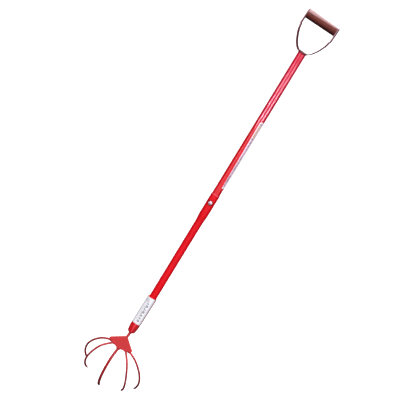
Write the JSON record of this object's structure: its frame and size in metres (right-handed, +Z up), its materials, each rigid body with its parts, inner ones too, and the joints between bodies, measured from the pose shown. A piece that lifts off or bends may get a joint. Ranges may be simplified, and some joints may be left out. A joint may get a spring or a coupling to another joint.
{
  "type": "hand cultivator",
  "caption": "Long-shafted hand cultivator with a D handle, a two-piece tube shaft joined by a spring button, and a fan of curved tines on a sheet plate.",
  "frame": {"origin": "centre of the shaft where a wall clip holds it, on the lower tube 260 mm above the mouth of the head socket", "axes": "+Z up the shaft towards the D handle, X along the grip, -Y the side the button faces, so the tines curve back towards +Y"},
  "size_m": [0.2066, 0.1665, 1.34],
  "materials": {
    "tube_paint": "gloss enamel",
    "head_paint": "satin enamel",
    "strap_paint": "gloss enamel, darker",
    "grip_wood": "stained and varnished",
    "bare_steel": "plain",
    "plated_steel": "bright",
    "label_film": "printed film"
  },
  "bodies": {
    "lower_section": {"lower_tube": "tube_paint", "head_socket": "tube_paint", "tang_and_centre_tine": "head_paint", "fan_plate": "head_paint", "tine_outer_left": "head_paint", "tine_inner_left": "head_paint", "tine_inner_right": "head_paint", "tine_outer_right": "head_paint", "centre_weld": "head_paint", "weld_outer_left": "head_paint", "weld_inner_left": "head_paint", "weld_inner_right": "head_paint", "weld_outer_right": "head_paint", "tang_weld": "head_paint", "lower_label": "label_film"},
    "upper_section": {"upper_tube": "tube_paint", "handle_strap": "strap_paint", "grip_rivet": "bare_steel", "strap_weld": "strap_paint", "upper_label": "label_film", "button_leaf_rear": "bare_steel"},
    "grip": {"wood_grip": "grip_wood"},
    "button": {"snap_button": "plated_steel", "button_leaf_front": "bare_steel"}
  },
  "joints": [
    {"name": "shaft_pull", "type": "slide", "parent": "lower_section", "child": "upper_section", "axis": [0, 0, 1], "range_m": [0, 0.3]},
    {"name": "button_press", "type": "slide", "parent": "upper_section", "child": "button", "axis": [-0.1045, 0.9945, 0], "range_m": [0, 0.0045], "stiffness_N_per_m": 2500, "springref_m": -0.001},
    {"name": "grip_roll", "type": "hinge", "parent": "upper_section", "child": "grip", "pos_m": [0.0032, 0, 0.85641], "axis": [0.9991, 0, -0.0419], "continuous": true}
  ]
}
